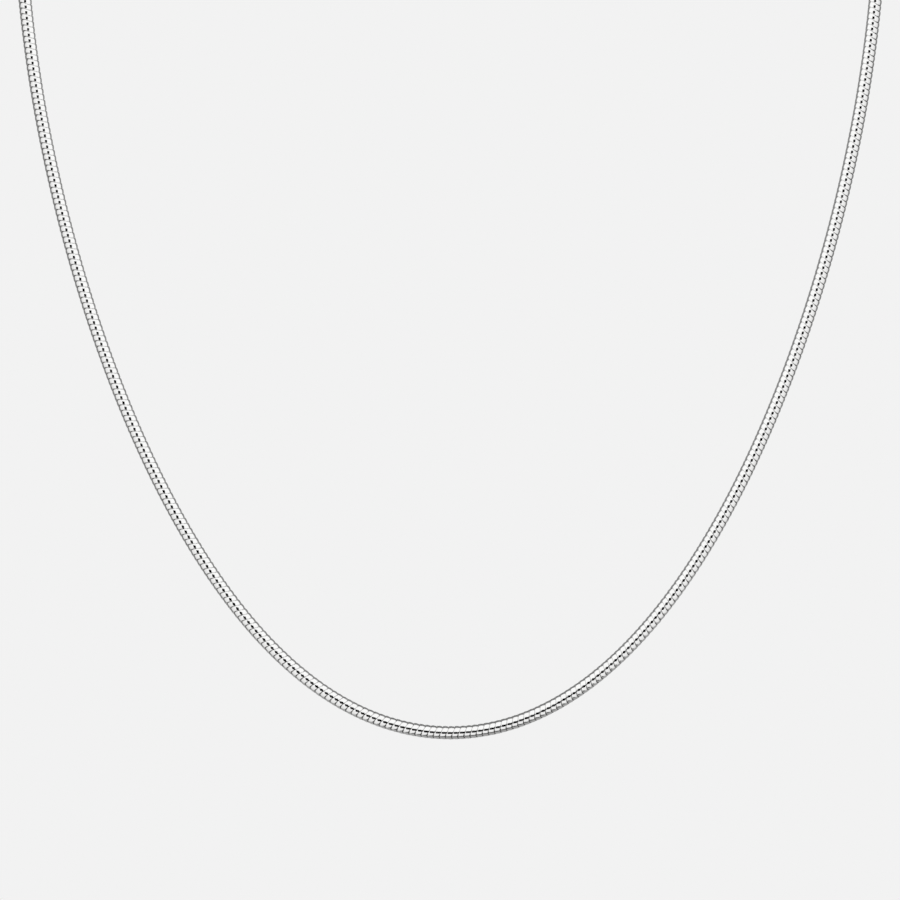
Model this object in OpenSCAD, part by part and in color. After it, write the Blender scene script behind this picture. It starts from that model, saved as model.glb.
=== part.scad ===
// Round snake chain necklace, kept in the form in which it hangs round a neck.
// Units are millimetres. X runs from side to side, Y from the chest to the nape and Z upwards.
// The origin is on the neck's axis, level with the places where the loop is widest.

/* [Necklace] */
// Length of the whole necklace, once round, with its clasp
necklace_len = 450; // [440:1:500]
// Diameter of the round snake chain
chain_d = 1.6; // [1.4:0.1:1.8]

/* [Hang on the chest] */
// Radius of the chain's bend at its lowest point
bottom_r = 23.8; // [21:0.1:27]
// Lean of the chest, back from upright, in degrees
chest_lean = 20; // [15:1:25]
// How far the chain lies on the chest, measured up the chest from the lowest point
chest_len = 93; // [88:1:100]
// How much the sides spread on their way up, in degrees for each millimetre
side_spread = 0.0357; // [0.033:0.0001:0.038]
// How much they draw upright again near the neck, in degrees for each cubic millimetre
side_draw = 0.0000072; // [0.0000068:0.0000001:0.0000076]

/* [Way round the neck] */
// Radius of the bend over the shoulder
shoulder_r = 40; // [30:1:46]
// Rise from the shoulders to the nape, in degrees
nape_rise = 15; // [10:1:20]

/* [End caps] */
// Outer diameter of an end cap
cap_d = 2.4; // [2.4:0.1:2.8]
// Length of an end cap, without its loop
cap_len = 6; // [5.5:0.1:8]
// Depth of the cap's bore, which the chain goes into
cap_depth = 4.2; // [3.5:0.1:4.2]
// Wire diameter of the cap's loop
loop_wire = 0.6; // [0.5:0.05:0.7]
// Inner diameter of the cap's loop
loop_hole = 2; // [1.9:0.05:2.2]

/* [Clasp] */
// Outer diameter of the clasp's ring
ring_d = 6.2; // [5.8:0.1:7]
// Wire diameter of the clasp's ring
ring_wire = 1.2; // [1:0.05:1.3]
// Wire diameter of the clasp's eye
eye_wire = 0.7; // [0.6:0.05:0.8]
// Inner diameter of the clasp's eye
eye_hole = 1.5; // [1.4:0.05:1.8]

/* [Hidden] */

// Free space between a cap's bore and the chain, and between linked wires
bore_gap = 0.08;
link_gap = 0.1;
// How deep soldered rings sink into each other or into a cap
solder = 0.35;
// Straight stretch of chain that shows before each cap
straight_lead = 1.4;
// Roundness of turned parts and of bent wires
turn_fn = 48;
wire_fn = 24;
// Step along the hanging chain, in millimetres, and along the nape, in degrees
side_step = 1;
nape_step = 1;
// The tube that stands for the chain's links: sides, and stretches from end to end
tube_sides = 8;
tube_stretches = 78;

// Radii of the bent wires' centre lines
loop_r = (loop_hole + loop_wire) / 2;
ring_r = (ring_d - ring_wire) / 2;
eye_r = (eye_hole + eye_wire) / 2;

// Places of the clasp's parts along X, from the centre of its ring
eye_x = ring_r + ring_wire / 2 + eye_r + eye_wire / 2 - solder;
left_loop_x = -ring_r + (loop_wire + ring_wire) / 2 + link_gap - loop_r;
right_loop_x = eye_x + eye_r - (loop_wire + eye_wire) / 2 - link_gap + loop_r;
loop_to_cap = loop_r + loop_wire / 2 - solder;
left_mouth_x = left_loop_x - loop_to_cap - cap_len;
right_mouth_x = right_loop_x + loop_to_cap + cap_len;
// The clasp and its caps are centred on the nape
clasp_x = -(left_mouth_x + right_mouth_x) / 2;
mouth_x = (right_mouth_x - left_mouth_x) / 2;
chain_end_x = mouth_x - cap_depth + bore_gap;
nape_straight = mouth_x + straight_lead;

// Half of the loop, laid out flat: s is the length from the lowest point, u the distance
// from the middle and v the distance up the chest and then back to the nape.
function heading(angle) = [cos(angle), sin(angle)];
function hang_angle(s) = atan(s / bottom_r) - side_spread * s + side_draw * pow(s, 3);

// The side hangs by its own law up to where it runs straight up
side = [
    for (
        s = 0, p = [0, 0];
        hang_angle(s) < 90;
        s = s + side_step, p = p + side_step * heading(hang_angle(s - side_step / 2))
    )
    [s, p[0], p[1]]
];
side_end = side[len(side) - 1];

// The way round the nape is a quarter of an ellipse that uses up the necklace's length
function quarter_len(a, b) = PI / 4 * (3 * (a + b) - sqrt((3 * a + b) * (a + 3 * b)));
function depth_for(a, l, low, high, tries) =
    let (middle = (low + high) / 2)
    tries == 0 ? middle
    : quarter_len(a, middle) < l ? depth_for(a, l, middle, high, tries - 1)
    : depth_for(a, l, low, middle, tries - 1);
nape_half = side_end[1] - nape_straight;
nape_len = necklace_len / 2 - side_end[0] - nape_straight;
nape_depth = depth_for(nape_half, nape_len, 1, nape_len, 30);
function nape_point(t) = [
    nape_straight + nape_half * cos(t),
    side_end[2] + nape_depth * sin(t)
];
nape = [
    for (
        t = nape_step, s = side_end[0] + norm(nape_point(t) - nape_point(0));
        t < 90;
        t = t + nape_step, s = s + norm(nape_point(t) - nape_point(t - nape_step))
    )
    [s, nape_point(t)[0], nape_point(t)[1]]
];
back_v = side_end[2] + nape_depth;
straight = [
    [necklace_len / 2 - nape_straight, nape_straight, back_v],
    [necklace_len / 2, 0, back_v]
];
half_loop = concat(side, nape, straight);
u_table = [for (q = half_loop) [q[0], q[1]]];
v_table = [for (q = half_loop) [q[0], q[2]]];

// Section of the body that the chain lies on: chest, shoulder and rise to the nape
chest_slope = 90 - chest_lean;
shoulder_len = shoulder_r * (chest_slope - nape_rise) * PI / 180;
shoulder_v = chest_len + shoulder_len;
function slope(v) =
    v < chest_len ? chest_slope
    : v < shoulder_v ? chest_slope - (v - chest_len) / shoulder_r * 180 / PI
    : nape_rise;
function section(v) =
    min(v, chest_len) * heading(chest_slope)
    + shoulder_r * [
        sin(chest_slope) - sin(slope(v)),
        cos(slope(v)) - cos(chest_slope)
    ]
    + max(v - shoulder_v, 0) * heading(nape_rise);
// The origin is level with the place where the sides run straight up
neck = section(side_end[2]);

// A point of the necklace's centre line, the direction of the chain there, and the
// direction straight out from the body. A negative length is on the left side.
function centre(s) =
    let (v = lookup(abs(s), v_table), yz = section(v) - neck)
    [sign(s) * lookup(abs(s), u_table), yz[0], yz[1]];
function unit(vector) = vector / norm(vector);
function direction(s) = unit(centre(s + side_step / 2) - centre(s - side_step / 2));
function outward(s) =
    let (angle = slope(lookup(abs(s), v_table)))
    [0, -sin(angle), cos(angle)];
back_yz = section(back_v) - neck;

// A tube of the same cross-section area as the round chain
tube_r = chain_d / 2 * sqrt(2 * PI / (tube_sides * sin(360 / tube_sides)));
chain_half = necklace_len / 2 - chain_end_x;

module chain() {
    last = tube_stretches;
    ring_points = [
        for (i = [0:last])
        let (
            s = chain_half * (2 * i / last - 1),
            out = outward(s),
            across = cross(direction(s), out)
        )
        for (j = [0:tube_sides - 1])
        let (angle = 360 * (j + 0.5) / tube_sides)
        centre(s) + tube_r * (cos(angle) * out + sin(angle) * across)
    ];
    start_face = [for (j = [tube_sides - 1:-1:0]) j];
    end_face = [for (j = [0:tube_sides - 1]) last * tube_sides + j];
    side_faces = [
        for (i = [0:last - 1])
        for (j = [0:tube_sides - 1])
        let (k = (j + 1) % tube_sides, a = i * tube_sides, b = a + tube_sides)
        each [[a + j, a + k, b + k], [a + j, b + k, b + j]]
    ];
    color("silver")
        polyhedron(
            points = ring_points,
            faces = concat([start_face], side_faces, [end_face])
        );
}

// A closed ring of wire, with its axis along Z
module wire_ring(centre_r, wire_d) {
    rotate_extrude($fn = turn_fn)
        translate([centre_r, 0])
            circle(d = wire_d, $fn = wire_fn);
}

// One end cap along X: its loop is centred at the origin and its mouth faces +X
module end_cap() {
    dome_r = cap_d / 2;
    bore_r = tube_r + bore_gap;
    color("silver")
        difference() {
            union() {
                wire_ring(loop_r, loop_wire);
                translate([loop_to_cap + dome_r, 0, 0]) {
                    sphere(r = dome_r, $fn = turn_fn);
                    rotate([0, 90, 0])
                        cylinder(r = dome_r, h = cap_len - dome_r, $fn = turn_fn);
                }
            }
            translate([loop_to_cap + cap_len - cap_depth, 0, 0])
                rotate([0, 90, 0])
                    cylinder(r = bore_r, h = cap_depth + 1, $fn = turn_fn);
        }
}

module end_cap_left() {
    translate([clasp_x + left_loop_x, back_yz[0], back_yz[1]])
        mirror([1, 0, 0])
            end_cap();
}

module end_cap_right() {
    translate([clasp_x + right_loop_x, back_yz[0], back_yz[1]])
        end_cap();
}

// A bolt ring clasp, as one plain piece: the ring, the eye and the thumb piece
module clasp() {
    thumb_d = 0.9;
    thumb_len = 1;
    thumb_angle = 125;
    color("silver")
        translate([clasp_x, back_yz[0], back_yz[1]])
            rotate([90, 0, 0]) {
                wire_ring(ring_r, ring_wire);
                translate([eye_x, 0, 0])
                    wire_ring(eye_r, eye_wire);
                rotate([0, 0, thumb_angle])
                    translate([ring_r, 0, 0])
                        rotate([0, 90, 0]) {
                            cylinder(d = thumb_d, h = ring_wire / 2 + thumb_len, $fn = wire_fn);
                            translate([0, 0, ring_wire / 2 + thumb_len])
                                sphere(d = thumb_d, $fn = wire_fn);
                        }
            }
}

chain();
end_cap_left();
end_cap_right();
clasp();
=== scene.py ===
"""Round snake chain necklace: the finished links, end caps and clasp, and the studio round them."""

import math
from bisect import bisect_right

import bpy
from bpy.props import FloatProperty, FloatVectorProperty, IntProperty, PointerProperty
from bpy.types import Operator, Panel, PropertyGroup
from mathutils import Matrix, Vector


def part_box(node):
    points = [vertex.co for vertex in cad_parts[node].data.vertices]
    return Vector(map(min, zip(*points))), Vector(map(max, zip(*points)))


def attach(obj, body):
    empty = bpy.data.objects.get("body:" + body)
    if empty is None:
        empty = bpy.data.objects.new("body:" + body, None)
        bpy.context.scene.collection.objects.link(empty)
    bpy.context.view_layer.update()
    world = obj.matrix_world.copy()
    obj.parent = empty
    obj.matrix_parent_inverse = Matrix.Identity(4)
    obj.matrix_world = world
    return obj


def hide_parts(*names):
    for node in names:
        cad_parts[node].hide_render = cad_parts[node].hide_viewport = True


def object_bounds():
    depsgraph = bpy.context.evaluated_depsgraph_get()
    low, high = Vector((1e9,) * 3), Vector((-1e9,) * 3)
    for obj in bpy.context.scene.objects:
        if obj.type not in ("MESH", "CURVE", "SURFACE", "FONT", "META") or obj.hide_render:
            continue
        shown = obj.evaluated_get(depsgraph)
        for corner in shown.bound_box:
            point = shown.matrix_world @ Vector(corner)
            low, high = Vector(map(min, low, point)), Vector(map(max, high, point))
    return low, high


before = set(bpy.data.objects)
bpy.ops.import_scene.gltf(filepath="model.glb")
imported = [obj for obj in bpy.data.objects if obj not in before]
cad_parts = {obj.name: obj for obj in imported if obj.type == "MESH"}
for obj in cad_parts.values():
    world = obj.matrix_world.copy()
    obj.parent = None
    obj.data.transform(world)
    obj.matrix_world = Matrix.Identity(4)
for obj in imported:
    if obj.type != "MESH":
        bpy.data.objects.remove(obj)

bl_info = {
    "name": "Snake Chain Necklace",
    "version": (1, 0, 0),
    "blender": (4, 5, 0),
    "location": "3D View > Sidebar > Necklace",
    "description": "Builds a round snake chain necklace with its end caps, its clasp and a studio",
    "category": "Object",
}

CAD_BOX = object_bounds()
# One millimetre, in metres
MM = 0.001

# Route, as in the part's own source, in millimetres and degrees: the necklace's whole length, and
# at the nape half the way between the chain's ends and half the straight stretch with the clasp
NECKLACE_LEN = 450
CHAIN_END_X = 7.455
NAPE_STRAIGHT = 12.975
# Radius of the bend at the lowest point, the chest's lean and how far up the chain lies on it
BOTTOM_R = 23.8
CHEST_LEAN = 20
CHEST_LEN = 93
# How the sides spread on their way up, by the millimetre, and draw in again, by its cube
SIDE_SPREAD = 0.0357
SIDE_DRAW = 0.0000072
# Radius of the bend over the shoulder, and the rise from there to the nape
SHOULDER_R = 40
NAPE_RISE = 15
# How often the search for the nape's depth halves its range
NAPE_TRIES = 30
# Length of each of the two stretches that a bend is measured between
BEND_SPAN = 2


class Route:
    """The centre line of the necklace, by its length s from the lowest point, in millimetres.

    Laid out flat, u is the distance from the middle and v the distance up the body.
    """

    # Step along the hanging side
    STEP = 1.0

    def __init__(self):
        self.table = self.side_rows()
        side_end = self.table[-1]
        self.table += self.nape_rows(*side_end)
        self.neck = self.section(side_end[2])

    def hang_angle(self, s):
        """Direction of the hanging side at the length s, in degrees from level."""
        return math.degrees(math.atan(s / BOTTOM_R)) - SIDE_SPREAD * s + SIDE_DRAW * s**3

    def side_rows(self):
        """Rows of length, distance from the middle and distance up, where the side hangs."""
        rows, s, u, v = [], 0.0, 0.0, 0.0
        while self.hang_angle(s) < 90:
            rows.append((s, u, v))
            angle = math.radians(self.hang_angle(s + self.STEP / 2))
            s += self.STEP
            u += self.STEP * math.cos(angle)
            v += self.STEP * math.sin(angle)
        return rows

    def nape_rows(self, s0, u0, v0):
        """The rest of the half loop: a quarter of an ellipse, then the straight at the clasp."""
        half = u0 - NAPE_STRAIGHT
        length = NECKLACE_LEN / 2 - s0 - NAPE_STRAIGHT
        low, high = 1.0, length
        for _ in range(NAPE_TRIES):
            depth = (low + high) / 2
            quarter = math.pi / 4 * (
                3 * (half + depth) - math.sqrt((3 * half + depth) * (half + 3 * depth))
            )
            low, high = (depth, high) if quarter < length else (low, depth)
        rows, s, last = [], s0, (u0, v0)
        for degrees in range(1, 90):
            angle = math.radians(degrees)
            point = (NAPE_STRAIGHT + half * math.cos(angle), v0 + depth * math.sin(angle))
            s += math.dist(point, last)
            rows.append((s, *point))
            last = point
        rows.append((NECKLACE_LEN / 2 - NAPE_STRAIGHT, NAPE_STRAIGHT, v0 + depth))
        rows.append((NECKLACE_LEN / 2, 0.0, v0 + depth))
        return rows

    def flat(self, s):
        """Distance from the middle and distance up at the length s."""
        size = abs(s)
        last = len(self.table) - 1
        row = bisect_right(self.table, size, hi=last, key=lambda entry: entry[0]) - 1
        (s0, u0, v0), (s1, u1, v1) = self.table[row : row + 2]
        share = (size - s0) / (s1 - s0)
        return math.copysign(u0 + share * (u1 - u0), s), v0 + share * (v1 - v0)

    def slope(self, v):
        """Slope of the body at the distance v up, from the chest over the shoulder to the nape."""
        turned = max(v - CHEST_LEN, 0) / SHOULDER_R
        return max(math.radians(90 - CHEST_LEAN) - turned, math.radians(NAPE_RISE))

    def section(self, v):
        """Distance back and height at the distance v up the chest and on to the nape."""
        chest, nape, here = math.radians(90 - CHEST_LEAN), math.radians(NAPE_RISE), self.slope(v)
        up = min(v, CHEST_LEN)
        on = max(v - CHEST_LEN - SHOULDER_R * (chest - nape), 0)
        y = up * math.cos(chest) + SHOULDER_R * (math.sin(chest) - math.sin(here))
        z = up * math.sin(chest) + SHOULDER_R * (math.cos(here) - math.cos(chest))
        return y + on * math.cos(nape), z + on * math.sin(nape)

    def centre(self, s):
        """Point of the centre line at the length s, in metres."""
        u, v = self.flat(s)
        y, z = self.section(v)
        return Vector((u, y - self.neck[0], z - self.neck[1])) * MM

    def bend(self, s):
        """How sharply the chain bends, in radians for each millimetre."""
        before, here, after = (self.centre(s + d) for d in (-BEND_SPAN, 0, BEND_SPAN))
        return (after - here).angle(here - before) / BEND_SPAN

    def frame_at(self, s):
        """Place and axes of a link: X away from the body, Y out of the loop, Z along the chain."""
        along = (self.centre(s + self.STEP) - self.centre(s - self.STEP)).normalized()
        slope = self.slope(self.flat(s)[1])
        away = Vector((0, -math.sin(slope), math.cos(slope)))
        away = (away - along * away.dot(along)).normalized()
        out = along.cross(away)
        axes = Matrix((away, out, along)).transposed()
        return self.centre(s), axes


ROUTE = Route()

# Links: where the crest of a link's wave lies round the chain, in degrees from the front towards
# the outer side, and how far its face leans where the chain hangs upright, in degrees
PHASE = -42
FACE_LEAN = 8
# How far a link bulges in its middle, and how deep under its face its skirt and a seam's floor lie
BULGE = 0.04 * MM
SKIRT_DEPTH = 0.085 * MM
SEAM_DEPTH = 0.26 * MM
# Points of a link that lie closer than this are merged
MERGE = 0.0001 * MM
# How dark the silver is painted on a link's skirt, at its rim and on a seam's floor: tarnish in these
# hollows, and painted shade of the crevices between the links
DARK_SKIRT = 0.5
DARK_RIM = 0.1
DARK_FLOOR = 1.0
# Painted shade on one side: how much darker a link is painted where its seams open, and how closely
# that keeps to the place
PAINTED_SIDE_SHADE = 0.3
PAINTED_SHADE_FOCUS = 4
# How sharply a link's face curves from rim to rim, as one over its radius in millimetres: least at
# the chain's lowest point and most from the reach on, a length of chain in millimetres; and the
# power of the way there by which it grows
CROWN_FLAT = 0.46
CROWN_FULL = 0.9
CROWN_REACH = 102
CROWN_GROWTH = 0.55

# Silver: cells of its clouds, of its hairlines and of the patches that they lie in, in each metre
CLOUD_SCALE = 900
HAIRLINE_SCALE = 1600
PATCH_SCALE = 400
# Layers of detail in these three, and how much the hairlines swirl
CLOUD_DETAIL = 3
HAIRLINE_DETAIL = 2
PATCH_DETAIL = 1
HAIRLINE_SWIRL = 0.1
# The hairlines' noise is drawn out along X, because its places are scaled by this
HAIRLINE_DRAW = (0.2, 1, 1)
# Strength of the clouds in the colour, and roughness where the polish is best and worst
CLOUD_VEIL = 0.05
POLISH_BEST = 0.05
POLISH_WORST = 0.12
# Hairlines: the noise's value along them, their width in such values, added roughness and depth
HAIRLINE_VALUE = 0.5
HAIRLINE_WIDTH = 0.016
HAIRLINE_DULL = 0.4
HAIRLINE_DEPTH = 0.001 * MM
# How dark the silver is at a joint, and how far from it that reaches
STAIN = 0.7
CAP_STAIN_REACH = 1.1 * MM
CLASP_STAIN_REACH = 0.75 * MM

# End caps: share of the mouth's wall inside the lip that is rounded too, place of the dome's first
# ring in degrees from the mouth, and depth and width of the bore's tip, as shares of its radius
INNER_LIP = 0.8
DOME_START = 176
BORE_POINT = 0.5
BORE_TIP = 0.05
# Clasp: where its bolt shows, in degrees round the ring from the eye upwards, and how much thinner
# the wire is in the grooves at the bolt's ends, as a share
BOLT_ENDS = (139, 206)
BOLT_GROOVE = 0.07
# Thumb piece: how deep its foot sits in the ring's wire and how thick its neck is, as shares of the
# wire's diameter and of the head's, and the head's rounding, in degrees from its tip
THUMB_FOOT = 0.25
THUMB_NECK = 0.75
HEAD_ARC = (130, 4)
# Steps along the roundings of the dome, the lip, the inner lip and the thumb piece's head
DOME_STEPS = 12
LIP_STEPS = 4
INNER_STEPS = 3
HEAD_STEPS = 8
# Faces round a cap and the thumb piece, and round and across the wire rings
CAP_SIDES = 48
THUMB_SIDES = 24
LOOP_SIDES = (48, 16)
RING_SIDES = (96, 20)
EYE_SIDES = (40, 14)
# Edges that turn by more than this stay sharp
SMOOTH_ANGLE = math.radians(40)

# Studio: light of the air, the floor's size and how far it lies under the necklace
AIR = 0.27
FLOOR_SIZE = 60
FLOOR_DROP = 0.08
# Tent: its radius, and as shares of it where its edge lies behind the necklace, how far that edge
# comes forwards at the top and where it is open below; its light, and its faces round and up
TENT_RADIUS = 3.5
TENT_EDGE = 0.12
TENT_LEAN = 0.15
TENT_FOOT = -0.978
TENT_LIGHT = 1.06
TENT_SIDES = (96, 48)
# The tent's dim hem: its top edge, as a share of the tent's radius, and its light
HEM_TOP = -0.906
HEM_LIGHT = 0.06
# Discs that only the silver sees: name, radius, place, turn about X and light
DISCS = (
    ("floor_light", 2.1, (0, 1.2, -2.0), 0, 0.44),
    ("dark_flag", 2.2, (0, 1.6, 2.6), -1.0, 0.2),
    ("back_light", 1.4, (0, 3.0, 0), math.pi / 2, 1.0),
)
DISC_SIDES = 48
# The camera's dark card: its distance from the chain and its drop under the line of sight
CARD_DISTANCE = 2.8
CARD_DROP = 0.196
# Camera: how far over the lowest point and to its side it looks, how far it sees, its sensor's
# width in millimetres and the picture's width in pixels
VIEW_RISE = 34.635 * MM
VIEW_SIDE = -0.018 * MM
VIEW_END = 100
SENSOR = 36
IMAGE_SIZE = 900


class ChainSettings(PropertyGroup):
    """Sizes of the chain's links."""

    diameter: FloatProperty(
        name="Diameter",
        description="Outer diameter of the round chain",
        default=1.6 * MM,
        unit="LENGTH",
    )
    link_length: FloatProperty(
        name="Link length",
        description="Length of one link along the chain",
        default=0.69 * MM,
        unit="LENGTH",
    )
    gap: FloatProperty(
        name="Gap",
        description="Open seam between two links where it is narrowest",
        default=0.015 * MM,
        unit="LENGTH",
    )
    outer_gap: FloatProperty(
        name="Outer gap",
        description="How much wider the seam is towards the loop's outer side",
        default=0.045 * MM,
        unit="LENGTH",
    )
    stretch: FloatProperty(
        name="Stretch",
        description="How far links move apart in a bend; 1 keeps their inner sides as close as before",
        default=1.4,
    )
    chamfer: FloatProperty(
        name="Chamfer",
        description="Width of the bevel along a link's rims",
        default=0.05 * MM,
        unit="LENGTH",
    )
    skirt: FloatProperty(
        name="Skirt",
        description="How far a link reaches in under the rim of the next one",
        default=0.1 * MM,
        unit="LENGTH",
    )
    wave: FloatProperty(
        name="Wave",
        description="How far a link's rims swing forwards and back on their way round",
        default=0.22 * MM,
        unit="LENGTH",
    )
    sides: IntProperty(
        name="Sides",
        description="Faces round a link",
        default=12,
    )


class FindingSettings(PropertyGroup):
    """Sizes of the end caps and the clasp."""

    cap_diameter: FloatProperty(
        name="Cap diameter",
        description="Outer diameter of an end cap",
        default=2.4 * MM,
        unit="LENGTH",
    )
    cap_length: FloatProperty(
        name="Cap length",
        description="Length of an end cap without its loop",
        default=6 * MM,
        unit="LENGTH",
    )
    bore: FloatProperty(
        name="Bore",
        description="Diameter of the bore that the chain goes into",
        default=1.84 * MM,
        unit="LENGTH",
    )
    bore_depth: FloatProperty(
        name="Bore depth",
        description="Depth of the bore that the chain goes into",
        default=4.2 * MM,
        unit="LENGTH",
    )
    lip: FloatProperty(
        name="Lip",
        description="Rounding of the cap's mouth",
        default=0.11 * MM,
        unit="LENGTH",
    )
    loop_wire: FloatProperty(
        name="Loop wire",
        description="Wire diameter of a cap's loop",
        default=0.6 * MM,
        unit="LENGTH",
    )
    loop_hole: FloatProperty(
        name="Loop hole",
        description="Inner diameter of a cap's loop",
        default=2 * MM,
        unit="LENGTH",
    )
    solder: FloatProperty(
        name="Solder",
        description="How deep soldered rings sink into each other or into a cap",
        default=0.35 * MM,
        unit="LENGTH",
    )
    ring_diameter: FloatProperty(
        name="Ring diameter",
        description="Outer diameter of the clasp's ring",
        default=6.2 * MM,
        unit="LENGTH",
    )
    ring_wire: FloatProperty(
        name="Ring wire",
        description="Wire diameter of the clasp's ring",
        default=1.2 * MM,
        unit="LENGTH",
    )
    bolt_wire: FloatProperty(
        name="Bolt wire",
        description="Wire diameter where the bolt shows in the clasp's ring",
        default=1.04 * MM,
        unit="LENGTH",
    )
    eye_wire: FloatProperty(
        name="Eye wire",
        description="Wire diameter of the clasp's eye",
        default=0.7 * MM,
        unit="LENGTH",
    )
    eye_hole: FloatProperty(
        name="Eye hole",
        description="Inner diameter of the clasp's eye",
        default=1.5 * MM,
        unit="LENGTH",
    )
    thumb: FloatProperty(
        name="Thumb piece",
        description="Diameter of the round head of the thumb piece",
        default=0.9 * MM,
        unit="LENGTH",
    )
    thumb_rise: FloatProperty(
        name="Thumb rise",
        description="Height of the middle of the thumb piece's head over the ring's wire",
        default=1 * MM,
        unit="LENGTH",
    )
    thumb_angle: FloatProperty(
        name="Thumb place",
        description="Where the thumb piece stands round the ring, from the eye upwards",
        default=math.radians(125),
        subtype="ANGLE",
    )


class FinishSettings(PropertyGroup):
    """Colours of the silver, of its tarnish and painted shade, and its wear."""

    silver: FloatVectorProperty(
        name="Silver",
        description="Colour of clean polished silver",
        default=(0.93, 0.93, 0.925),
        subtype="COLOR",
    )
    # Colour that the seams are darkened towards: tarnish in the hollows and at the joints, and on the
    # chain also painted shade
    tarnish_and_shade: FloatVectorProperty(
        name="Tarnish",
        description="Colour of the silver deep in the seams",
        default=(0.16, 0.155, 0.15),
        subtype="COLOR",
    )
    chain_wear: FloatProperty(
        name="Chain wear",
        description="Strength of the hairline scratches on the chain",
        default=0.4,
        subtype="FACTOR",
    )
    finding_wear: FloatProperty(
        name="Finding wear",
        description="Strength of the hairline scratches on the caps and the clasp",
        default=1.0,
        subtype="FACTOR",
    )


class StageSettings(PropertyGroup):
    """The studio round the necklace."""

    pale: FloatVectorProperty(
        name="Backdrop",
        description="Colour of the floor and of the backdrop",
        default=(0.888, 0.888, 0.888),
        subtype="COLOR",
    )
    distance: FloatProperty(
        name="Camera distance",
        description="Distance from the camera to the chain's lowest point",
        default=1.5,
        unit="LENGTH",
    )
    pixel: FloatProperty(
        name="Pixel",
        description="Size of a pixel at the chain's lowest point",
        default=0.1225 * MM,
        unit="LENGTH",
    )
    tilt: FloatProperty(
        name="Camera tilt",
        description="How far the camera looks down",
        default=math.radians(12),
        subtype="ANGLE",
    )
    card_width: FloatProperty(
        name="Dark width",
        description="Half the angle across the dark opening that the camera looks through",
        default=math.radians(18.5),
        subtype="ANGLE",
    )
    card_height: FloatProperty(
        name="Dark height",
        description="Half the angle up and down the dark opening that the camera looks through",
        default=math.radians(17),
        subtype="ANGLE",
    )


def clear_selection():
    """Leaves edit mode and selects nothing."""
    if bpy.context.object and bpy.context.object.mode != "OBJECT":
        bpy.ops.object.mode_set(mode="OBJECT")
    bpy.ops.object.select_all(action="DESELECT")


def only(obj):
    """Selects one object, in object mode, and makes it the active one."""
    clear_selection()
    obj.select_set(True)
    bpy.context.view_layer.objects.active = obj


def drop(obj):
    """Removes an object with its mesh."""
    mesh = obj.data
    bpy.data.objects.remove(obj)
    bpy.data.meshes.remove(mesh)


def check_closed(obj):
    """Raises an error if the mesh of a piece has an open or a doubled edge."""
    only(obj)
    bpy.ops.object.mode_set(mode="EDIT")
    bpy.ops.mesh.select_mode(type="VERT")
    bpy.ops.mesh.select_all(action="DESELECT")
    bpy.ops.mesh.select_non_manifold()
    bpy.ops.object.mode_set(mode="OBJECT")
    faults = sum(v.select for v in obj.data.vertices)
    if faults:
        raise RuntimeError(f"{obj.name} isn't closed: {faults} faulty points")


def math_node(tree, operation, *values):
    """A Math node whose inputs are numbers or sockets; returns its output."""
    node = tree.nodes.new("ShaderNodeMath")
    node.operation = operation
    for socket, value in zip(node.inputs, values):
        if isinstance(value, (int, float)):
            socket.default_value = value
        else:
            tree.links.new(value, socket)
    return node.outputs[0]


def noise_node(tree, place, scale, detail, distortion=0.0):
    """A Noise texture over the piece's own place; returns its grey output."""
    noise = tree.nodes.new("ShaderNodeTexNoise")
    noise.inputs["Scale"].default_value = scale
    noise.inputs["Detail"].default_value = detail
    noise.inputs["Distortion"].default_value = distortion
    tree.links.new(place, noise.inputs["Vector"])
    return noise.outputs["Fac"]


def range_node(tree, value, most, start, end):
    """A Map Range node that spreads 0 to most over start to end; returns its output."""
    node = tree.nodes.new("ShaderNodeMapRange")
    node.inputs["From Max"].default_value = most
    node.inputs["To Min"].default_value = start
    node.inputs["To Max"].default_value = end
    tree.links.new(value, node.inputs["Value"])
    return node.outputs["Result"]


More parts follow.
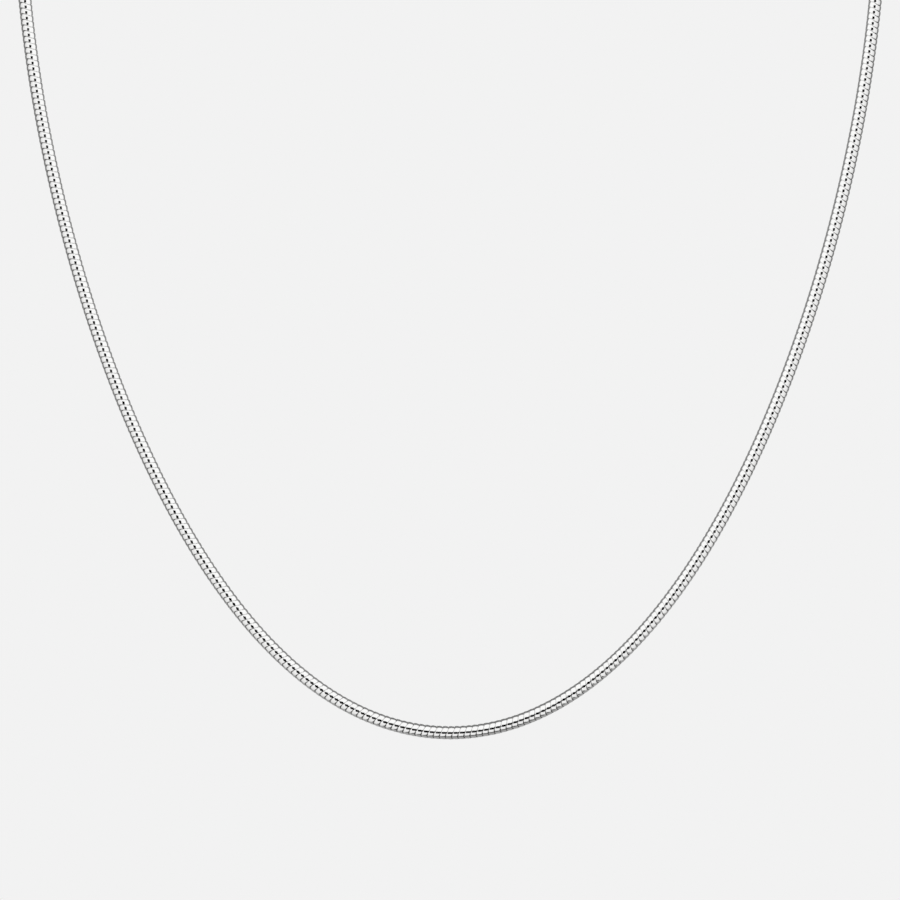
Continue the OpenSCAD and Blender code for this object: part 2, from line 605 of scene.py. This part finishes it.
def silver_group():
    """Shader group: polished silver with faint clouds, hairline scratches and seams darkened by
    tarnish and painted shade.
    """
    name = "Worn polished silver"
    if name in bpy.data.node_groups:
        return bpy.data.node_groups[name]
    tree = bpy.data.node_groups.new(name, "ShaderNodeTree")
    sockets = tree.interface
    sockets.new_socket("Seam", in_out="INPUT", socket_type="NodeSocketFloat")
    sockets.new_socket("Wear", in_out="INPUT", socket_type="NodeSocketFloat")
    sockets.new_socket("Silver", in_out="INPUT", socket_type="NodeSocketColor")
    sockets.new_socket("Tarnish", in_out="INPUT", socket_type="NodeSocketColor")
    sockets.new_socket("Color", in_out="OUTPUT", socket_type="NodeSocketColor")
    sockets.new_socket("Roughness", in_out="OUTPUT", socket_type="NodeSocketFloat")
    sockets.new_socket("Height", in_out="OUTPUT", socket_type="NodeSocketFloat")
    inside = tree.nodes.new("NodeGroupInput").outputs
    outside = tree.nodes.new("NodeGroupOutput").inputs
    place = tree.nodes.new("ShaderNodeTexCoord").outputs["Object"]
    cloud = noise_node(tree, place, CLOUD_SCALE, CLOUD_DETAIL)
    patch = noise_node(tree, place, PATCH_SCALE, PATCH_DETAIL)
    # Hairlines run where a drawn-out noise crosses its middle value, in patches
    drawn = tree.nodes.new("ShaderNodeVectorMath")
    drawn.operation = "MULTIPLY"
    drawn.inputs[1].default_value = HAIRLINE_DRAW
    tree.links.new(place, drawn.inputs[0])
    drawn = drawn.outputs["Vector"]
    swirl = noise_node(tree, drawn, HAIRLINE_SCALE, HAIRLINE_DETAIL, HAIRLINE_SWIRL)
    off_line = math_node(tree, "ABSOLUTE", math_node(tree, "SUBTRACT", swirl, HAIRLINE_VALUE))
    line = range_node(tree, off_line, HAIRLINE_WIDTH, 1, 0)
    scratch = math_node(tree, "MULTIPLY", line, patch)
    scratch = math_node(tree, "MULTIPLY", scratch, inside["Wear"])
    # Colour: clean silver, then the cloud's faint yellowing and the darkening by the seam attribute:
    # tarnish and dark joints, and on the chain also painted shade
    veil = math_node(tree, "MULTIPLY", cloud, CLOUD_VEIL)
    shade = math_node(tree, "MAXIMUM", inside["Seam"], veil)
    blend = tree.nodes.new("ShaderNodeMix")
    blend.data_type = "RGBA"
    tree.links.new(shade, blend.inputs["Factor"])
    tree.links.new(inside["Silver"], blend.inputs["A"])
    tree.links.new(inside["Tarnish"], blend.inputs["B"])
    tree.links.new(blend.outputs["Result"], outside["Color"])
    # Roughness: the polish, unevenly worn, duller along the hairlines
    rough = range_node(tree, cloud, 1, POLISH_BEST, POLISH_WORST)
    dull = math_node(tree, "MULTIPLY", scratch, HAIRLINE_DULL)
    tree.links.new(math_node(tree, "ADD", rough, dull), outside["Roughness"])
    tree.links.new(math_node(tree, "MULTIPLY", scratch, -HAIRLINE_DEPTH), outside["Height"])
    return tree


def crown_group():
    """Shader group: height of a link's curved face over the plain band, in metres."""
    name = "Link crown"
    if name in bpy.data.node_groups:
        return bpy.data.node_groups[name]
    tree = bpy.data.node_groups.new(name, "ShaderNodeTree")
    tree.interface.new_socket("Height", in_out="OUTPUT", socket_type="NodeSocketFloat")
    place = {}
    for attribute in ("along", "crest", "crown"):
        node = tree.nodes.new("ShaderNodeAttribute")
        node.attribute_name = attribute
        place[attribute] = node.outputs["Fac"]
    away = math_node(tree, "SUBTRACT", place["along"], place["crest"])
    square = math_node(tree, "MULTIPLY", away, away)
    curved = math_node(tree, "MULTIPLY", square, place["crown"])
    fall = math_node(tree, "MULTIPLY", curved, -MM / 2)
    tree.links.new(fall, tree.nodes.new("NodeGroupOutput").inputs["Height"])
    return tree


def silver_material(name, finish, wear, crowned=False):
    """Polished silver, darkened by the piece's seam attribute (tarnish, and on the chain also painted
    shade), with crowned faces for links.
    """
    mat = bpy.data.materials.new(name)
    mat.use_nodes = True
    nodes, links = mat.node_tree.nodes, mat.node_tree.links
    shader = nodes["Principled BSDF"]
    shader.inputs["Metallic"].default_value = 1.0
    seam = nodes.new("ShaderNodeAttribute")
    seam.attribute_name = "seam"
    silver = nodes.new("ShaderNodeGroup")
    silver.node_tree = silver_group()
    silver.inputs["Wear"].default_value = wear
    silver.inputs["Silver"].default_value = (*finish.silver, 1)
    silver.inputs["Tarnish"].default_value = (*finish.tarnish_and_shade, 1)
    height = silver.outputs["Height"]
    if crowned:
        crown = nodes.new("ShaderNodeGroup")
        crown.node_tree = crown_group()
        height = math_node(mat.node_tree, "ADD", crown.outputs["Height"], height)
    bump = nodes.new("ShaderNodeBump")
    bump.inputs["Distance"].default_value = 1
    links.new(seam.outputs["Fac"], silver.inputs["Seam"])
    links.new(silver.outputs["Color"], shader.inputs["Base Color"])
    links.new(silver.outputs["Roughness"], shader.inputs["Roughness"])
    links.new(height, bump.inputs["Height"])
    links.new(bump.outputs["Normal"], shader.inputs["Normal"])
    return mat


def dress(piece, material):
    """Gives a piece the one material that it has."""
    piece.data.materials.clear()
    piece.data.materials.append(material)


def pick(obj, kind, chosen):
    """Selects the chosen vertices, edges or faces of a mesh, and only them, in edit mode."""
    only(obj)
    bpy.ops.object.mode_set(mode="EDIT")
    bpy.ops.mesh.select_mode(type=kind)
    bpy.ops.mesh.select_all(action="DESELECT")
    bpy.ops.object.mode_set(mode="OBJECT")
    mesh = obj.data
    parts = {"VERT": mesh.vertices, "EDGE": mesh.edges, "FACE": mesh.polygons}[kind]
    for i in chosen:
        parts[i].select = True
    bpy.ops.object.mode_set(mode="EDIT")


def link_rings(chain):
    """Rings of a link: place along it, depth under its plain face and darkness of the silver, which is
    tarnish and painted shade of the crevices.
    """
    half, bevel = chain.link_length / 2, chain.chamfer
    return [
        (-half - chain.skirt, SKIRT_DEPTH, DARK_SKIRT),
        (bevel - half, 0.0, 0.0),
        (0.0, -BULGE, 0.0),
        (half - bevel, 0.0, 0.0),
        (half, bevel, DARK_RIM),
        (0.0, SEAM_DEPTH, DARK_FLOOR),
    ]


def extrude_band(rings, radius, sides):
    """A band along Z, extruded from ring to ring until it closes."""
    clear_selection()
    start, deep, _ = rings[0]
    bpy.ops.mesh.primitive_circle_add(
        vertices=sides, radius=radius - deep, location=(0, 0, start)
    )
    band = bpy.context.object
    bpy.ops.object.transform_apply(location=True)
    bpy.ops.object.mode_set(mode="EDIT")
    bpy.ops.mesh.select_all(action="SELECT")
    for (z0, deep0, _), (z1, deep1, _) in zip(rings, rings[1:] + rings[:1]):
        size = (radius - deep1) / (radius - deep0)
        bpy.ops.mesh.extrude_region_move(TRANSFORM_OT_translate={"value": (0, 0, z1 - z0)})
        bpy.ops.transform.resize(value=(size, size, 1), center_override=(0, 0, z1))
    bpy.ops.mesh.select_all(action="SELECT")
    bpy.ops.mesh.remove_doubles(threshold=MERGE)
    bpy.ops.mesh.normals_make_consistent(inside=False)
    bpy.ops.object.mode_set(mode="OBJECT")
    return band


def model_link(chain):
    """One link at the origin, along Z: a bulging band with a skirt, whose rims swing in a wave."""
    # The corners stand out so far that the faces lie at the chain's radius on average
    step = math.pi / chain.sides
    radius = chain.diameter / 2 * step / math.sin(step)
    half = chain.link_length / 2
    rings = link_rings(chain)
    link = extrude_band(rings, radius, chain.sides)
    mesh = link.data
    # Darkness painted on the silver: tarnish in the hollows, with painted shade of the crevices
    # between the links and of the side where the seams open
    seam = mesh.attributes.new("seam", "FLOAT", "POINT")
    ring_of, rises = [], []
    for v in mesh.vertices:
        deep = radius - math.hypot(v.co.x, v.co.y)
        misses = [abs(z - v.co.z) + abs(depth - deep) for z, depth, _ in rings]
        ring = misses.index(min(misses))
        # The link is narrower where the chain's seams open, and painted darker there: painted shade in
        # its wider seams and on that side of its face
        angle = math.atan2(v.co.y, v.co.x)
        opening = math.sin(angle) ** 2
        dark = rings[ring][2] * (1 + opening) + PAINTED_SIDE_SHADE * opening**PAINTED_SHADE_FOCUS
        seam.data[v.index].value = min(dark, 1)
        narrow = chain.outer_gap / 2 * opening * v.co.z / half
        rises.append(chain.wave * math.cos(2 * angle) - narrow)
        ring_of.append(ring)
    for index, rise in enumerate(rises):
        pick(link, "VERT", [index])
        bpy.ops.transform.translate(value=(0, 0, rise))
    only(link)
    bpy.ops.object.shade_smooth()
    along = mesh.attributes.new("along", "FLOAT", "POINT")
    for v in mesh.vertices:
        along.data[v.index].value = v.co.z / MM
    around = [e.index for e in mesh.edges if ring_of[e.vertices[0]] == ring_of[e.vertices[1]]]
    pick(link, "EDGE", around)
    bpy.ops.mesh.mark_sharp()
    only(link)
    shade_turned(mesh, rings, ring_of)
    return link


def shade_turned(mesh, rings, ring_of):
    """Shades a link as a turned band, so that its slanted faces don't twist the reflections."""
    normals = []
    for face in mesh.polygons:
        first, second = sorted({ring_of[i] for i in face.vertices})
        # The last faces lead from the last ring back to the first one
        if second - first > 1:
            first, second = second, first
        along = rings[second][0] - rings[first][0]
        inward = rings[second][1] - rings[first][1]
        # The bulge is shaded by the material's crown
        if max(rings[first][1], rings[second][1]) <= 0:
            inward = 0.0
        for index in face.vertices:
            x, y, _ = mesh.vertices[index].co
            out = Vector((x, y, 0)).normalized() * along
            normals.append((out + Vector((0, 0, inward))).normalized())
    mesh.normals_split_custom_set(normals)


def link_stations(chain):
    """Lengths at which the links sit, in millimetres: further apart where the chain bends."""
    end = NECKLACE_LEN / 2 - CHAIN_END_X
    half = chain.link_length / 2 / MM
    stations, s = [], 0.0
    while s + half <= end:
        stations.append(s)
        opening = chain.stretch * chain.diameter / 2 / MM * ROUTE.bend(s)
        s += (chain.link_length + chain.gap) / MM * (1 + opening)
    return [-s for s in stations[:0:-1]] + stations


def link_places(chain):
    """For each link its centre, its axes, and where and how sharply its face is crowned."""
    # The face is highest at the link's middle, as it shows in front, but for its lean
    phase = math.radians(PHASE)
    front = chain.wave / MM * math.cos(2 * phase)
    places = []
    for s in link_stations(chain):
        centre, axes = ROUTE.frame_at(s)
        share = min(abs(s) / CROWN_REACH, 1) ** CROWN_GROWTH
        crown = CROWN_FLAT + (CROWN_FULL - CROWN_FLAT) * share
        lean = math.radians(FACE_LEAN) * axes.col[2].z
        turned = axes @ Matrix.Rotation(phase, 3, "Z")
        places.append((centre, turned, front + lean / crown, crown))
    return places


def stud(link, places):
    """Copies the link to every place by Geometry Nodes, and makes the copies real."""
    mesh = bpy.data.meshes.new("places")
    mesh.from_pydata([place[0] for place in places], [], [])
    mesh.attributes.new("turn", "FLOAT_VECTOR", "POINT")
    mesh.attributes.new("crest", "FLOAT", "POINT")
    mesh.attributes.new("crown", "FLOAT", "POINT")
    for i, (_, axes, crest, crown) in enumerate(places):
        mesh.attributes["turn"].data[i].vector = axes.to_euler("XYZ")
        mesh.attributes["crest"].data[i].value = crest
        mesh.attributes["crown"].data[i].value = crown
    piece = bpy.data.objects.new("places", mesh)
    bpy.context.scene.collection.objects.link(piece)
    tree = bpy.data.node_groups.new("Links along the chain", "GeometryNodeTree")
    tree.interface.new_socket("Geometry", in_out="INPUT", socket_type="NodeSocketGeometry")
    tree.interface.new_socket("Geometry", in_out="OUTPUT", socket_type="NodeSocketGeometry")
    nodes, links = tree.nodes, tree.links
    start, end = nodes.new("NodeGroupInput"), nodes.new("NodeGroupOutput")
    info = nodes.new("GeometryNodeObjectInfo")
    info.inputs["Object"].default_value = link
    named = nodes.new("GeometryNodeInputNamedAttribute")
    named.data_type = "FLOAT_VECTOR"
    named.inputs["Name"].default_value = "turn"
    euler = nodes.new("FunctionNodeEulerToRotation")
    copies = nodes.new("GeometryNodeInstanceOnPoints")
    real = nodes.new("GeometryNodeRealizeInstances")
    links.new(start.outputs[0], copies.inputs["Points"])
    links.new(info.outputs["Geometry"], copies.inputs["Instance"])
    links.new(named.outputs["Attribute"], euler.inputs["Euler"])
    links.new(euler.outputs["Rotation"], copies.inputs["Rotation"])
    links.new(copies.outputs["Instances"], real.inputs["Geometry"])
    links.new(real.outputs["Geometry"], end.inputs[0])
    modifier = piece.modifiers.new("Links", "NODES")
    modifier.node_group = tree
    only(piece)
    bpy.ops.object.modifier_apply(modifier=modifier.name)
    piece.data.attributes.remove(piece.data.attributes["turn"])
    return piece


class NECKLACE_OT_chain(Operator):
    """Build the snake chain, link by link"""

    bl_idname = "necklace.chain"
    bl_label = "Snake chain"

    def execute(self, context):
        chain, finish = context.scene.necklace_chain, context.scene.necklace_finish
        link = model_link(chain)
        check_closed(link)
        piece = stud(link, link_places(chain))
        piece.name = "snake_chain"
        drop(link)
        silver = silver_material("Polished chain silver", finish, finish.chain_wear, crowned=True)
        dress(piece, silver)
        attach(piece, "root")
        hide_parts("chain")
        return {"FINISHED"}


def arc(radius, first, last, steps, place=(0, 0)):
    """Points of an arc, as places along an axis and radii round it; angles count from the axis."""
    points = []
    for i in range(steps + 1):
        angle = math.radians(first + (last - first) * i / steps)
        points.append((place[0] + radius * math.cos(angle), place[1] + radius * math.sin(angle)))
    return points


def lathe(rings, sides):
    """A turned solid along Z: a disc extruded ring by ring, each ring a place and a radius."""
    clear_selection()
    start, size = rings[0]
    bpy.ops.mesh.primitive_circle_add(
        vertices=sides, radius=size, fill_type="NGON", location=(0, 0, start)
    )
    solid = bpy.context.object
    bpy.ops.object.transform_apply(location=True)
    bpy.ops.object.mode_set(mode="EDIT")
    bpy.ops.mesh.select_mode(type="FACE")
    bpy.ops.mesh.select_all(action="SELECT")
    for (z0, r0), (z1, r1) in zip(rings, rings[1:]):
        bpy.ops.mesh.extrude_region_move(TRANSFORM_OT_translate={"value": (0, 0, z1 - z0)})
        bpy.ops.transform.resize(value=(r1 / r0, r1 / r0, 1), center_override=(0, 0, z1))
    bpy.ops.mesh.select_all(action="SELECT")
    bpy.ops.mesh.normals_make_consistent(inside=False)
    bpy.ops.object.mode_set(mode="OBJECT")
    return solid


def wire_ring(hole, wire, sides):
    """A ring of round wire at the origin, with its axis along Z and its faces round and across."""
    clear_selection()
    bpy.ops.mesh.primitive_torus_add(
        major_radius=(hole + wire) / 2,
        minor_radius=wire / 2,
        major_segments=sides[0],
        minor_segments=sides[1],
    )
    return bpy.context.object


def settle(obj, place=(0, 0, 0), turn=(0, 0, 0)):
    """Moves and turns a piece, and keeps that in its mesh."""
    only(obj)
    obj.location = place
    obj.rotation_euler = turn
    bpy.ops.object.transform_apply(location=True, rotation=True, scale=False)


def weld(obj, other):
    """Joins another closed solid to the piece, as solder does."""
    only(obj)
    modifier = obj.modifiers.new("Weld", "BOOLEAN")
    modifier.operation = "UNION"
    modifier.solver = "EXACT"
    modifier.object = other
    bpy.ops.object.modifier_apply(modifier=modifier.name)
    drop(other)


def stain(obj, joints, reach):
    """Tarnish in the seam attribute, darkest at each joint and gone at the reach."""
    shade = obj.data.attributes.new("seam", "FLOAT", "POINT")
    for v in obj.data.vertices:
        near = min((v.co - joint).length for joint in joints)
        shade.data[v.index].value = STAIN * max(1 - near / reach, 0) ** 2


def model_cap(finding):
    """An end cap along X: its loop is round the origin and its mouth faces +X."""
    radius, lip, bore = finding.cap_diameter / 2, finding.lip, finding.bore / 2
    loop_radius = (finding.loop_hole + finding.loop_wire) / 2
    start = loop_radius + finding.loop_wire / 2 - finding.solder
    mouth = start + finding.cap_length
    deep = mouth - finding.bore_depth
    inner_lip = (radius - lip - bore) * INNER_LIP
    rings = arc(radius, DOME_START, 90, DOME_STEPS, (start + radius, 0))
    rings += arc(lip, 90, 0, LIP_STEPS, (mouth - lip, radius - lip))
    rings += arc(inner_lip, 0, -90, INNER_STEPS, (mouth - inner_lip, bore + inner_lip))
    rings += [(deep, bore), (deep - BORE_POINT * bore, BORE_TIP * bore)]
    cap = lathe(rings, CAP_SIDES)
    settle(cap, turn=(0, math.pi / 2, 0))
    weld(cap, wire_ring(finding.loop_hole, finding.loop_wire, LOOP_SIDES))
    bpy.ops.object.shade_smooth_by_angle(angle=SMOOTH_ANGLE)
    stain(cap, [Vector((start, 0, 0)), Vector((deep, 0, 0))], CAP_STAIN_REACH)
    return cap


def model_clasp(finding):
    """A bolt ring clasp round the origin, with its axis along Y and its eye towards +X."""
    wire = finding.ring_wire
    radius = (finding.ring_diameter - wire) / 2
    clasp = wire_ring(finding.ring_diameter - 2 * wire, wire, RING_SIDES)
    settle(clasp, turn=(math.pi / 2, 0, 0))
    show_bolt(clasp, finding, radius)
    # Eye
    eye = wire_ring(finding.eye_hole, finding.eye_wire, EYE_SIDES)
    eye_x = radius + wire / 2 + finding.eye_hole / 2 + finding.eye_wire - finding.solder
    settle(eye, (eye_x, 0, 0), (math.pi / 2, 0, 0))
    weld(clasp, eye)
    # Thumb piece: a short neck with a round head
    head, rise = finding.thumb / 2, wire / 2 + finding.thumb_rise
    neck = THUMB_NECK * head
    rings = [(THUMB_FOOT * wire, neck), (rise - head, neck)]
    rings += arc(head, *HEAD_ARC, HEAD_STEPS, (rise, 0))
    thumb = lathe(rings, THUMB_SIDES)
    outwards = Vector((math.cos(finding.thumb_angle), 0, math.sin(finding.thumb_angle)))
    settle(thumb, radius * outwards, (0, math.pi / 2 - finding.thumb_angle, 0))
    weld(clasp, thumb)
    bpy.ops.object.shade_smooth_by_angle(angle=SMOOTH_ANGLE)
    joints = [Vector((radius + wire / 2, 0, 0)), (radius + wire / 2) * outwards]
    joints += [radius * ring_way(angle) for angle in BOLT_ENDS]
    stain(clasp, joints, CLASP_STAIN_REACH)
    return clasp


def ring_way(degrees):
    """Direction from the clasp's centre to a place on its ring, from the eye upwards."""
    angle = math.radians(degrees)
    return Vector((math.cos(angle), 0, math.sin(angle)))


def show_bolt(clasp, finding, radius):
    """Makes the ring's wire thinner where the bolt shows, with a groove at both its ends."""
    stations = {}
    for v in clasp.data.vertices:
        angle = round(math.degrees(math.atan2(v.co.z, v.co.x)), 2) % 360
        stations.setdefault(angle, []).append(v.index)
    first, last = BOLT_ENDS
    for angle, points in stations.items():
        if not first <= angle <= last:
            continue
        share = finding.bolt_wire / finding.ring_wire
        if min(angle - first, last - angle) < 360 / len(stations):
            share -= BOLT_GROOVE
        pick(clasp, "VERT", points)
        bpy.ops.transform.resize(value=(share,) * 3, center_override=radius * ring_way(angle))
    clear_selection()


class NECKLACE_OT_caps(Operator):
    """Build the two end caps with their loops"""

    bl_idname = "necklace.caps"
    bl_label = "End caps"

    def execute(self, context):
        finding, finish = context.scene.necklace_finding, context.scene.necklace_finish
        left = model_cap(finding)
        check_closed(left)
        dress(left, silver_material("Polished cap silver", finish, finish.finding_wear))
        right = left.copy()
        right.data = left.data.copy()
        context.scene.collection.objects.link(right)
        reach = max(v.co.x for v in left.data.vertices)
        for cap, node, side in ((left, "end_cap_left", -1), (right, "end_cap_right", 1)):
            low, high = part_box(node)
            middle = (low + high) / 2
            mouth = low.x if side < 0 else high.x
            place = (mouth - side * reach, middle.y, middle.z)
            settle(cap, place, (0, 0, math.pi if side < 0 else 0))
            cap.name = "silver_" + node
            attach(cap, "root")
            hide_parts(node)
        return {"FINISHED"}


class NECKLACE_OT_clasp(Operator):
    """Build the bolt ring clasp"""

    bl_idname = "necklace.clasp"
    bl_label = "Bolt ring clasp"

    def execute(self, context):
        finding, finish = context.scene.necklace_finding, context.scene.necklace_finish
        clasp = model_clasp(finding)
        check_closed(clasp)
        dress(clasp, silver_material("Polished clasp silver", finish, finish.finding_wear))
        low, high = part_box("clasp")
        outer = finding.ring_diameter / 2
        settle(clasp, (low.x + outer, (low.y + high.y) / 2, low.z + outer))
        clasp.name = "silver_bolt_ring"
        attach(clasp, "root")
        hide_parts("clasp")
        return {"FINISHED"}


def glow(name, strength, colour=(1, 1, 1)):
    """A light-giving material for the floor and for what the silver reflects."""
    mat = bpy.data.materials.new(name)
    mat.use_nodes = True
    nodes, links = mat.node_tree.nodes, mat.node_tree.links
    nodes.remove(nodes["Principled BSDF"])
    lamp = nodes.new("ShaderNodeEmission")
    lamp.inputs["Color"].default_value = (*colour, 1)
    lamp.inputs["Strength"].default_value = strength
    links.new(lamp.outputs["Emission"], nodes["Material Output"].inputs["Surface"])
    return mat


def reflection_only(obj, name, material):
    """Makes a stage piece that only the silver sees, in its reflections."""
    obj.name = name
    obj.data.materials.append(material)
    obj.visible_camera = False
    obj.visible_shadow = False


def make_world(scene, stage):
    """The studio's air: dim grey all round, but the floor's own colour where the camera sees it."""
    world = bpy.data.worlds.new("Studio air")
    scene.world = world
    world.use_nodes = True
    nodes, links = world.node_tree.nodes, world.node_tree.links
    ground = nodes["Background"]
    ground.inputs["Color"].default_value = (AIR, AIR, AIR, 1)
    seen = nodes.new("ShaderNodeBackground")
    seen.inputs["Color"].default_value = (*stage.pale, 1)
    path = nodes.new("ShaderNodeLightPath")
    mix = nodes.new("ShaderNodeMixShader")
    links.new(path.outputs["Is Camera Ray"], mix.inputs["Fac"])
    links.new(ground.outputs["Background"], mix.inputs[1])
    links.new(seen.outputs["Background"], mix.inputs[2])
    links.new(mix.outputs["Shader"], nodes["World Output"].inputs["Surface"])


def make_floor(stage):
    """A wide floor in the colour of the backdrop, which the silver doesn't see."""
    clear_selection()
    height = CAD_BOX[0].z - FLOOR_DROP
    bpy.ops.mesh.primitive_plane_add(size=FLOOR_SIZE, location=(0, 0, height))
    floor = bpy.context.object
    floor.name = "floor"
    floor.data.materials.append(glow("Pale floor", 1.0, stage.pale))
    floor.visible_glossy = False
    floor.visible_diffuse = False


def make_tent(stage):
    """A light tent on the camera's side: part of a ball, open behind and under the necklace."""
    clear_selection()
    around, upwards = TENT_SIDES
    bpy.ops.mesh.primitive_uv_sphere_add(
        segments=around, ring_count=upwards, radius=TENT_RADIUS
    )
    tent = bpy.context.object
    unwanted = []
    for face in tent.data.polygons:
        place = face.center.normalized()
        if place.y > TENT_EDGE - TENT_LEAN * max(place.z, 0) or place.z < TENT_FOOT:
            unwanted.append(face.index)
    pick(tent, "FACE", unwanted)
    bpy.ops.mesh.delete(type="FACE")
    bpy.ops.object.mode_set(mode="OBJECT")
    reflection_only(tent, "light_tent", glow("Tent light", TENT_LIGHT))
    tent.data.materials.append(glow("Tent hem", HEM_LIGHT))
    for face in tent.data.polygons:
        face.material_index = int(face.center.normalized().z < HEM_TOP)
    tent.rotation_euler.x = -stage.tilt


def make_discs():
    """Round lights and a dark flag that only the silver sees."""
    for name, radius, place, turn, strength in DISCS:
        clear_selection()
        bpy.ops.mesh.primitive_circle_add(
            vertices=DISC_SIDES,
            radius=radius,
            fill_type="NGON",
            location=place,
            rotation=(turn, 0, 0),
        )
        reflection_only(bpy.context.object, name, glow(name, strength))


def make_card(stage, forward):
    """The dark opening in the tent that the camera looks through."""
    clear_selection()
    bpy.ops.mesh.primitive_plane_add(size=2)
    card = bpy.context.object
    size = [CARD_DISTANCE * math.tan(half) for half in (stage.card_width, stage.card_height)]
    card.scale = (*size, 1)
    card.rotation_euler.x = math.pi / 2 - stage.tilt
    card.location = ROUTE.centre(0) - CARD_DISTANCE * forward - Vector((0, 0, CARD_DROP))
    reflection_only(card, "camera_card", glow("Dark opening", 0.0))


def make_camera(scene, stage, forward):
    """The camera, so far off that a pixel has its size at the chain's lowest point."""
    camera = bpy.data.objects.new("Camera", bpy.data.cameras.new("Camera"))
    scene.collection.objects.link(camera)
    up = Vector((0, math.sin(stage.tilt), math.cos(stage.tilt)))
    camera.location = ROUTE.centre(0) - stage.distance * forward + VIEW_RISE * up
    camera.location.x = VIEW_SIDE
    camera.rotation_euler = (math.pi / 2 - stage.tilt, 0, 0)
    camera.data.sensor_width = SENSOR
    camera.data.lens = stage.distance / (stage.pixel * IMAGE_SIZE) * SENSOR
    camera.data.clip_end = VIEW_END
    scene.camera = camera


class NECKLACE_OT_stage(Operator):
    """Build the pale floor, the soft light and the camera"""

    bl_idname = "necklace.stage"
    bl_label = "Studio"

    def execute(self, context):
        scene, stage = context.scene, context.scene.necklace_stage
        forward = Vector((0, math.cos(stage.tilt), -math.sin(stage.tilt)))
        make_world(scene, stage)
        make_floor(stage)
        make_tent(stage)
        make_discs()
        make_card(stage, forward)
        make_camera(scene, stage, forward)
        scene.view_settings.view_transform = "Standard"
        return {"FINISHED"}


class NECKLACE_PT_panel(Panel):
    """Lists the necklace's settings and the steps that build it"""

    bl_idname = "NECKLACE_PT_panel"
    bl_label = "Snake Chain Necklace"
    bl_space_type = "VIEW_3D"
    bl_region_type = "UI"
    bl_category = "Necklace"

    def draw(self, context):
        scene = context.scene
        groups = (
            (scene.necklace_chain, ("necklace.chain",)),
            (scene.necklace_finding, ("necklace.caps", "necklace.clasp")),
            (scene.necklace_finish, ()),
            (scene.necklace_stage, ("necklace.stage",)),
        )
        for settings, steps in groups:
            box = self.layout.box()
            for name in settings.__annotations__:
                box.prop(settings, name)
            for step in steps:
                box.operator(step)


CLASSES = (
    ChainSettings,
    FindingSettings,
    FinishSettings,
    StageSettings,
    NECKLACE_OT_chain,
    NECKLACE_OT_caps,
    NECKLACE_OT_clasp,
    NECKLACE_OT_stage,
    NECKLACE_PT_panel,
)


def register():
    """Registers the settings, the steps and the panel."""
    for cls in CLASSES:
        bpy.utils.register_class(cls)
    bpy.types.Scene.necklace_chain = PointerProperty(type=ChainSettings)
    bpy.types.Scene.necklace_finding = PointerProperty(type=FindingSettings)
    bpy.types.Scene.necklace_finish = PointerProperty(type=FinishSettings)
    bpy.types.Scene.necklace_stage = PointerProperty(type=StageSettings)


def unregister():
    """Takes back all that register did."""
    del bpy.types.Scene.necklace_chain
    del bpy.types.Scene.necklace_finding
    del bpy.types.Scene.necklace_finish
    del bpy.types.Scene.necklace_stage
    for cls in reversed(CLASSES):
        bpy.utils.unregister_class(cls)


def main():
    """Builds the necklace and its studio."""
    register()
    bpy.ops.necklace.chain()
    bpy.ops.necklace.caps()
    bpy.ops.necklace.clasp()
    bpy.ops.necklace.stage()


if __name__ == "__main__":
    main()
